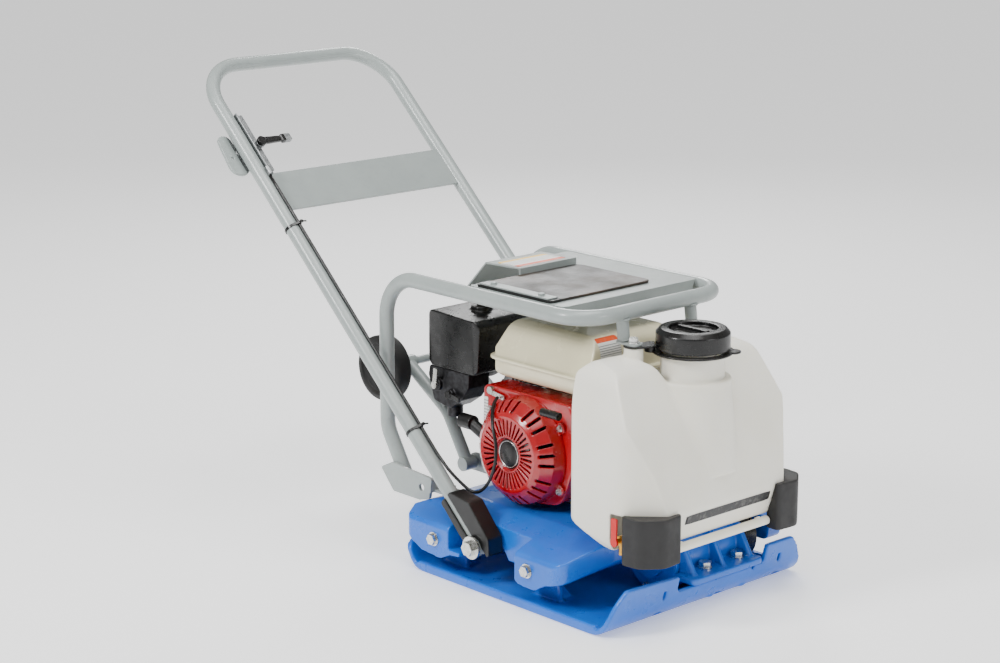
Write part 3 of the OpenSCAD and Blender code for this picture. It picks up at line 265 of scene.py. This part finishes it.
FINISHES = {
    "blue_paint": paint("blue_paint", linear(0.0, 0.405, 0.82), linear(0.0, 0.315, 0.70), 0.27,
                        cast=0.7, wear=0.35, dust=0.03, coat=0.2),
    "grey_paint": paint("grey_paint", linear(0.60, 0.63, 0.62), linear(0.50, 0.535, 0.53), 0.30,
                        wear=0.15, dust=0.05),
    "plated_steel": metal("plated_steel", linear(0.86, 0.86, 0.86), linear(0.72, 0.72, 0.67), 0.20,
                          (1, 1, 4)),
    "dark_steel": metal("dark_steel", linear(0.27, 0.27, 0.28), linear(0.15, 0.145, 0.145), 0.38, fine=0.06),
    "cast_aluminium": metal("cast_aluminium", linear(0.62, 0.63, 0.63), linear(0.46, 0.47, 0.48), 0.42,
                            fine=0.14),
    "red_paint": paint("red_paint", linear(0.68, 0.0, 0.055), linear(0.50, 0.0, 0.03), 0.20,
                       wear=0.1, dust=0.04, coat=0.7),
    "red_plastic": plastic("red_plastic", linear(0.78, 0.02, 0.03), linear(0.85, 0.35, 0.3), 0.32),
    "cream_paint": paint("cream_paint", linear(0.895, 0.865, 0.735), linear(0.80, 0.765, 0.62), 0.20,
                         wear=0.08, dust=0.03, coat=0.6),
    "ivory_plastic": water_plastic(),
    "charcoal_rubber": plastic("charcoal_rubber", linear(0.10, 0.098, 0.10), linear(0.24, 0.235, 0.23), 0.52,
                               0.10, 0.10),
    "black_rubber": plastic("black_rubber", linear(0.022, 0.022, 0.022), linear(0.16, 0.155, 0.15), 0.34,
                            0.07, 0.10),
    "black_plastic": plastic("black_plastic", linear(0.014, 0.014, 0.015), linear(0.13, 0.13, 0.13), 0.24,
                             0.04, 0.08),
    "brass": metal("brass", linear(0.84, 0.64, 0.29), linear(0.66, 0.46, 0.18), 0.26),
    "tyre": plastic("tyre", linear(0.035, 0.034, 0.033), linear(0.17, 0.16, 0.15), 0.60, 0.14, 0.18),
}


def flap_rubber():
    """Black rubber sheet with brownish clouds of painted sheen and a low, uneven relief."""
    f = Finish("flap_rubber", linear(0.055, 0.052, 0.05), 0.36)
    f.round_edges(1.0 * MM)
    # Painted sheen: large soft brownish clouds over the black rubber.
    f.tint(linear(0.34, 0.26, 0.18), f.between(f.noise(0.19, 3, 0.5, (1, 0.8, 1)), 0.43, 0.64, 0.75))
    f.roughen(f.between(f.noise(0.05, 5), 0.35, 0.75, 0.2))
    f.bump(f.noise(0.9 * MM, 2), 0.07 * MM)
    f.bump(f.noise(60 * MM, 2), 1.2 * MM)
    f.scuffs(0.12, linear(0.30, 0.27, 0.24), (6, 1, 4))
    f.dust(0.10)
    return f.done(Coat_Weight=0.12, Coat_Roughness=0.25)


def banded(name, base, bands, axis, rough=0.35):
    """A plain label: colour bands over a base colour, each band from one place to another along an axis."""
    f = Finish(name, base, rough)
    along = f.axis(axis)
    for low, high, color in bands:
        inside = f.math("MULTIPLY", f.math("GREATER_THAN", along, low), f.math("LESS_THAN", along, high))
        f.tint(color, inside)
    f.tint(linear(0.70, 0.69, 0.66), f.between(f.noise(0.01, 5), 0.5, 0.8, 0.25))
    f.roughen(f.between(f.noise(0.012, 4), 0.4, 0.7, 0.15))
    f.bump(f.noise(1.5 * MM, 2), 0.02 * MM)
    return f.done()


# ---- mesh helpers -----------------------------------------------------------


def placed(name, data):
    """A new object in the scene."""
    made = bpy.data.objects.new(name, data)
    bpy.context.collection.objects.link(made)
    return made


def put(name, mesh, body, slot, material=None):
    """A new piece that moves with a body and takes its finish from a slot."""
    made = placed(name, mesh)
    mesh.materials.clear()
    mesh.materials.append(material or FINISHES[slot])
    for face in mesh.polygons:
        face.use_smooth = True
    if body:
        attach(made, body)
    return made


def joined_copy(node):
    """A copy of a CAD node's mesh whose split corners are joined again."""
    mesh = NODES[node].data.copy()
    work = bmesh.new()
    work.from_mesh(mesh)
    bmesh.ops.remove_doubles(work, verts=work.verts, dist=0.01 * MM)
    work.to_mesh(mesh)
    work.free()
    return mesh


def drawn(name, work):
    """A mesh from what was built up in bmesh, with its faces turned outwards."""
    bmesh.ops.recalc_face_normals(work, faces=work.faces)
    mesh = bpy.data.meshes.new(name)
    work.to_mesh(mesh)
    work.free()
    return mesh


def modified(name, mesh, *modifiers):
    """The mesh after a list of modifiers, each a kind and its settings."""
    holder = placed(name, mesh)
    for kind, settings in modifiers:
        made = holder.modifiers.new(kind, kind)
        for key, value in settings.items():
            setattr(made, key, value)
    ready = holder.evaluated_get(bpy.context.evaluated_depsgraph_get())
    result = bpy.data.meshes.new_from_object(ready)
    bpy.data.objects.remove(holder)
    return result


def recast(node, grain, rounds, material=None, shape=None):
    """Stands in for a casting or a moulding: the CAD's own form, with every edge and joint run together."""
    grain = grain * MM * 1.0
    mesh = modified(
        node, joined_copy(node),
        ("REMESH", {"mode": "VOXEL", "voxel_size": grain}),
        ("SMOOTH", {"factor": 0.6, "iterations": rounds}),
    )
    if shape:
        for vertex in mesh.vertices:
            vertex.co = shape(vertex.co)
    made = put(node + "_form", mesh, BODY_OF[node], SLOT_OF[node], material)
    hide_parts(node)
    return made


def ring_of(work, middle, across, other, radius, sides):
    """A ring of corners around a middle, in the plane of two directions."""
    turn = [2 * math.pi * k / sides for k in range(sides)]
    return [work.verts.new(middle + radius * (math.cos(t) * across + math.sin(t) * other)) for t in turn]


def stitch(work, rings):
    """Faces between each ring and the next; corners that coincide make a triangle."""
    for a, b in zip(rings, rings[1:]):
        for k in range(len(a)):
            corners = list(dict.fromkeys((a[k], a[(k + 1) % len(a)], b[(k + 1) % len(a)], b[k])))
            if len(corners) > 2:
                work.faces.new(corners)


def round_tube(name, points, radius, body, slot, sides=14):
    """A tube that follows points closely spaced along its middle."""
    work = bmesh.new()
    rings = []
    up = Vector((0, 0, 1))
    for i, p in enumerate(points):
        way = (points[min(i + 1, len(points) - 1)] - points[max(i - 1, 0)]).normalized()
        across = way.cross(up) if abs(way.z) < 0.98 else way.cross(Vector((0, 1, 0)))
        if rings:
            across = last - way * last.dot(way)
        across.normalize()
        last = across
        rings.append(ring_of(work, p, across, way.cross(across), radius, sides))
    stitch(work, rings)
    work.faces.new(list(reversed(rings[0])))
    work.faces.new(rings[-1])
    return put(name, drawn(name, work), body, slot)


def smooth_line(points, steps=8):
    """A Catmull-Rom curve through the points."""
    ends = [2 * points[0] - points[1]] + points + [2 * points[-1] - points[-2]]
    line = []
    for a, b, c, d in zip(ends, ends[1:], ends[2:], ends[3:]):
        for k in range(steps):
            t = k / steps
            line.append(0.5 * (2 * b + (c - a) * t + (2 * a - 5 * b + 4 * c - d) * t * t
                               + (3 * b - a - 3 * c + d) * t ** 3))
    return line + [points[-1]]


# How far in from a label's ends its corners begin to round, as a share of half its height.
LABEL_CORNER = 0.12
LABEL_LIFT, LABEL_THICKNESS = 0.35 * MM, 0.3 * MM
LOOK_FROM, LOOK_AS_FAR_AS = 0.06, 0.16


def decal(name, target, middle, outward, up, width, height, material, slot, body, cells=18):
    """A thin label that lies on a surface, found by looking back at it from outside."""
    outward, up = Vector(outward).normalized(), Vector(up)
    up = (up - outward * up.dot(outward)).normalized()
    side = up.cross(outward)
    tree = BVHTree.FromObject(target, bpy.context.evaluated_depsgraph_get())
    work = bmesh.new()
    grid = {}
    for i in range(cells + 1):
        for j in range(cells + 1):
            u, v = 2 * i / cells - 1, 2 * j / cells - 1
            squeeze = 1 - max(0.0, abs(v) - 1 + LABEL_CORNER) * abs(u) ** 8
            spot = Vector(middle) + side * (u * squeeze * width / 2) + up * (v * height / 2)
            hit = tree.ray_cast(spot + outward * LOOK_FROM, -outward, LOOK_AS_FAR_AS)[0]
            if hit is not None:
                grid[i, j] = work.verts.new(hit + outward * LABEL_LIFT)
    for i in range(cells):
        for j in range(cells):
            corners = [grid.get(k) for k in ((i, j), (i + 1, j), (i + 1, j + 1), (i, j + 1))]
            if all(corners):
                work.faces.new(corners)
    mesh = modified(name, drawn(name, work), ("SOLIDIFY", {"thickness": LABEL_THICKNESS, "offset": 0.0}))
    return put(name, mesh, body, slot, material)


TURNED_SIDES = 64


def turned(name, outline, middle, axis, body, slot):
    """A turned piece: outline is a list of (radius, distance along axis)."""
    axis = Vector(axis).normalized()
    across = axis.orthogonal().normalized()
    other = axis.cross(across)
    work = bmesh.new()
    rings = []
    for r, h in outline:
        centre = Vector(middle) + axis * h
        if r:
            rings.append(ring_of(work, centre, across, other, r, TURNED_SIDES))
        else:
            rings.append([work.verts.new(centre)] * TURNED_SIDES)
    stitch(work, rings)
    return put(name, drawn(name, work), body, slot)


WELD_STEPS, WELD_SECTION, RIPPLE = 72, 8, 3.2 * MM


def weld(name, middle, axis, radius, body, bead=2.6):
    """A weld bead around a tube, laid down in overlapping ripples."""
    middle, axis = Vector(middle), Vector(axis).normalized()
    across = axis.orthogonal().normalized()
    other = axis.cross(across)
    work = bmesh.new()
    rings = []
    ripples = round(2 * math.pi * radius / RIPPLE)
    for i in range(WELD_STEPS):
        t = 2 * math.pi * i / WELD_STEPS
        out = math.cos(t) * across + math.sin(t) * other
        fat = bead * MM * (0.82 + 0.18 * math.cos(ripples * t) + 0.16 * noise.noise(out * 4 + middle))
        rings.append(ring_of(work, middle + out * radius, out, axis, fat, WELD_SECTION))
    stitch(work, rings + rings[:1])
    return put(name, drawn(name, work), body, "grey_paint")


def block(name, middle, axes, halves, body, slot, bevel):
    """A small moulded block with rounded edges; axes are its three directions."""
    work = bmesh.new()
    bmesh.ops.create_cube(work, size=2.0)
    for vertex in work.verts:
        vertex.co = Vector(middle) + sum((a * (h * c) for a, h, c in zip(axes, halves, vertex.co)), Vector())
    mesh = modified(name, drawn(name, work), ("BEVEL", {"width": bevel, "segments": 3}))
    return put(name, mesh, body, slot)


# ---- every CAD node's finish ------------------------------------------------

SHARP_FROM = math.radians(32)
for node, shown in NODES.items():
    shown.data.materials.clear()
    shown.data.materials.append(FINISHES[SLOT_OF[node]])
    shown.data.shade_smooth()
    shown.data.set_sharp_from_angle(angle=SHARP_FROM)

# ---- castings, mouldings and pressings --------------------------------------

# Each casting's voxel size in millimetres, and its rounds of smoothing.
FORMS = {
    "base_plate": (2.2, 7), "exciter_housing": (1.7, 5), "exciter_covers": (1.3, 4), "engine_deck": (1.7, 3),
    "crankcase": (2.0, 6), "cylinder_barrel": (1.3, 2), "fan_shroud": (1.5, 5), "recoil_cover": (0.9, 3),
    "fuel_tank": (1.6, 8), "fuel_cap": (1.0, 4), "air_cleaner": (1.4, 6), "air_cleaner_knob": (0.7, 3),
    "carburetor": (1.1, 4), "muffler": (1.6, 5), "water_tank": (1.9, 9), "water_cap": (1.1, 4),
    "cap_tether": (0.9, 4), "tank_bumpers": (1.6, 6), "handle_buffers": (1.2, 5),
    "throttle_bracket": (0.9, 3), "recoil_grip": (0.6, 3), "wheel_near": (1.1, 3), "wheel_far": (1.1, 3),
    "plug_cap": (0.8, 4), "spray_bar": (0.8, 2), "throttle_lever": (0.6, 3),
}
forms = {node: recast(node, grain, rounds) for node, (grain, rounds) in FORMS.items()}


def second_finish(form, slot, chosen):
    """Gives another finish to the faces whose middle passes the test."""
    form.data.materials.append(FINISHES[slot])
    for face in form.data.polygons:
        if chosen(face.center):
            face.material_index = 1


lever_tip_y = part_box("throttle_lever")[1].y - 14 * MM
tube_outer_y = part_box("handle_frame")[0].y
second_finish(forms["throttle_lever"], "cast_aluminium", lambda p: p.y > lever_tip_y)
second_finish(forms["throttle_bracket"], "grey_paint", lambda p: p.y < tube_outer_y + 10 * MM)

flap_low, flap_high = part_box("rubber_flap")
WAVES_PER_M = 9


def uneven(p):
    """The flap isn't quite flat, apart from along its hinged edge."""
    away = (p.y - flap_low.y) / (flap_high.y - flap_low.y)
    wave = noise.noise(Vector((p.x * WAVES_PER_M, p.y * WAVES_PER_M, 0.3))) * 0.5 * MM
    return Vector((p.x, p.y, p.z + wave * min(1.0, 3 * away)))


forms["rubber_flap"] = recast("rubber_flap", 1.2, 4, flap_rubber(), uneven)

# ---- labels, badge and small fittings -----------------------------------------

WHITE = linear(0.90, 0.90, 0.88)
ORANGE = linear(0.88, 0.30, 0.05)
YELLOW = linear(0.93, 0.76, 0.22)
GREY_BAR = linear(0.52, 0.52, 0.52)


def print_bars(low, high, count):
    """Plain grey bars where a label's small print would be."""
    step = (high - low) / count
    return [(low + step * k, low + step * (k + 0.32), GREY_BAR) for k in range(count)]


fuel_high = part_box("fuel_tank")[1]
label_z = 0.449
decal("fuel_label", forms["fuel_tank"], (fuel_high.x, -0.070, label_z), (1, 0, 0.12), (0, 0, 1), 0.052, 0.036,
      banded("fuel_label", WHITE, [(label_z + 0.008, label_z + 0.018, ORANGE)]
             + print_bars(label_z - 0.014, label_z + 0.006, 5), "Z"), "cream_paint", "deck")

shroud_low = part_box("fan_shroud")[0]
label_z = 0.292
decal("shroud_label", forms["fan_shroud"], (shroud_low.x + 0.009, shroud_low.y, label_z),
      (0, -1, 0), (0, 0, 1), 0.011, 0.044,
      banded("shroud_label", WHITE, print_bars(label_z - 0.02, label_z + 0.02, 7), "Z"), "cream_paint", "deck")

hood_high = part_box("top_hood")[1]
label_x = -0.186
decal("hood_label", NODES["top_hood"], (label_x, 0.012, hood_high.z), (0, 0, 1), (1, 0, 0), 0.120, 0.062,
      banded("hood_label", WHITE, [(label_x - 0.030, label_x - 0.019, YELLOW),
                                   (label_x + 0.016, label_x + 0.030, ORANGE)]
             + print_bars(label_x - 0.014, label_x + 0.014, 5), "X"), "grey_paint", "deck")

tank_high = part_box("water_tank")[1]
decal("tank_strip", forms["water_tank"], (tank_high.x, 0.008, 0.1875), (1, 0, 0), (0, 0, 1), 0.216, 0.017,
      banded("tank_strip", linear(0.10, 0.10, 0.105), [], "Z"), "black_plastic", "deck", cells=40)

recoil_low, recoil_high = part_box("recoil_cover")
crank = (recoil_low + recoil_high) / 2
badge_y = recoil_low.y + 6 * MM
turned("recoil_badge", [(0, 2.2 * MM), (22 * MM, 2.2 * MM), (23.5 * MM, 1.4 * MM), (26.5 * MM, 1.4 * MM),
                        (27.2 * MM, 0.4 * MM), (27.2 * MM, -1 * MM)],
       (crank.x, badge_y, crank.z), (0, -1, 0), "deck", "black_plastic")
turned("badge_ring", [(23.2 * MM, 1.0 * MM), (23.6 * MM, 2.6 * MM), (24.6 * MM, 2.6 * MM),
                      (25.0 * MM, 1.0 * MM)],
       (crank.x, badge_y, crank.z), (0, -1, 0), "deck", "plated_steel")

POST_TOP_X, POST_TOP_Z, POST_LOW_X, POST_LOW_Z = 0.1438, 0.5075, 0.1438 + 0.0042, 0.4725
POST_Y, POST_R, POST_WAY = 0.086, 0.011, (0.13, 0, -1)
for side in (-1, 1):
    top, low = (POST_TOP_X, side * POST_Y, POST_TOP_Z), (POST_LOW_X, side * POST_Y, POST_LOW_Z)
    weld(f"post_weld_top_{side + 1}", top, POST_WAY, POST_R + 0.5 * MM, "deck")
    weld(f"post_weld_low_{side + 1}", low, POST_WAY, POST_R, "deck", 2.0)

# Cable ties round the near handle tube: directions along it and square to it, from the handle's pivot.
UP_TUBE = Vector((-0.72897, 0, 0.68455))
OFF_TUBE = Vector((0.68455, 0, 0.72897))
PIVOT = Vector((-0.062, 0, 0.081))
TIE_HEIGHTS, SIDE_TUBE_Y, TUBE_R, HALF_TAIL = (0.251, 0.728), -0.228, 0.014, 5 * MM
for k, height in enumerate(TIE_HEIGHTS):
    head = PIVOT + UP_TUBE * height + OFF_TUBE * (TUBE_R + 7.5 * MM) + Vector((0, SIDE_TUBE_Y + 10.5 * MM, 0))
    tail_way = (Vector((0, 1, 0)) + 0.25 * OFF_TUBE - 0.3 * UP_TUBE).normalized()
    tail_side = tail_way.cross(OFF_TUBE).normalized()
    tail_top = tail_side.cross(tail_way)
    block(f"tie_head_{k}", head, (UP_TUBE, Vector((0, 1, 0)), OFF_TUBE),
          (2.8 * MM, 3.0 * MM, 2.2 * MM), "handle", "black_plastic", 0.6 * MM)
    block(f"tie_tail_{k}", head + tail_way * HALF_TAIL, (tail_side, tail_way, tail_top),
          (1.7 * MM, HALF_TAIL, 0.6 * MM), "handle", "black_plastic", 0.3 * MM)

# ---- throttle cable -----------------------------------------------------------

upper_low, upper_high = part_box("throttle_cable_upper")
CABLE_R = 3.0 * MM
END_IN_BOX = Vector((0.684, 0, -0.729))  # from the box's corner to the middle of the cable's end, in radii
LOOP = [
    (-190, -220, 222), (-160, -219, 198), (-136, -211, 177), (-116, -204, 164),
    (-96, -201, 167), (-76, -198, 188), (-64, -194, 222), (-66, -189, 256),
    (-82, -182, 288), (-104, -162, 310), (-117, -144, 320), (-122, -133, 324),
]
loop = [Vector(p) * MM for p in LOOP]
cable_top = Vector((upper_low.x, loop[0].y, upper_high.z)) + CABLE_R * END_IN_BOX
cable_low = loop[0]
STRAIGHT_STEPS = 24
straight = [cable_top.lerp(cable_low, k / STRAIGHT_STEPS) for k in range(STRAIGHT_STEPS)]
cable_line = straight + smooth_line(loop, 8)
cable = round_tube("throttle_cable", cable_line, CABLE_R, None, "black_rubber")
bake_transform(cable)
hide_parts("throttle_cable_upper", "throttle_cable_loop")

# ---- floor, light and camera --------------------------------------------------


FLOOR_REACH = 60.0


def floor():
    """A plain pale floor that shines faintly, so that it stays even out to the horizon."""
    mesh = bpy.data.meshes.new("floor")
    corners = [(x * FLOOR_REACH, y * FLOOR_REACH, 0) for x, y in ((-1, -1), (1, -1), (1, 1), (-1, 1))]
    mesh.from_pydata(corners, [], [(0, 1, 2, 3)])
    made = placed("floor", mesh)
    f = Finish("floor", linear(0.95, 0.95, 0.95), 0.7)
    mesh.materials.append(f.done(Emission_Color=(1, 1, 1, 1), Emission_Strength=0.45))


def turned_along(way):
    """The rotation that points a lamp's or a camera's view along a direction."""
    return Vector(way).to_track_quat("-Z", "Y").to_euler()


def softbox(name, where, aim, size, power):
    data = bpy.data.lights.new(name, "AREA")
    data.shape, data.size, data.energy = "DISK", size, power
    made = placed(name, data)
    made.location = where
    made.rotation_euler = turned_along(Vector(aim) - Vector(where))


def sun(name, way, power, spread):
    data = bpy.data.lights.new(name, "SUN")
    data.energy, data.angle = power, spread
    placed(name, data).rotation_euler = turned_along(way)


floor()
middle = Vector((-0.1, 0, 0.4))
softbox("key", (-0.9, -3.2, 2.7), middle, 1.1, 125)
softbox("fill", (3.3, 0.5, 1.5), middle, 1.3, 32)
softbox("top", (0.3, 0.2, 3.4), middle, 1.8, 60)
softbox("rim", (-2.4, 2.2, 2.3), middle, 1.2, 45)
sun("even", (-0.25, 0.35, -1.0), 1.3, math.radians(40))
world = bpy.data.worlds.new("studio")
world.use_nodes = True
backdrop = world.node_tree.nodes["Background"]
backdrop.inputs["Color"].default_value = (1, 1, 1, 1)
backdrop.inputs["Strength"].default_value = 0.34
bpy.context.scene.world = world

view = bpy.data.cameras.new("camera")
view.sensor_width = 36
view.lens = 84.16
camera = placed("camera", view)
camera.location = (2.8709, -2.9025, 1.44055)
camera.rotation_euler = turned_along((-0.7125, 0.6607, -0.2368))
bpy.context.scene.camera = camera
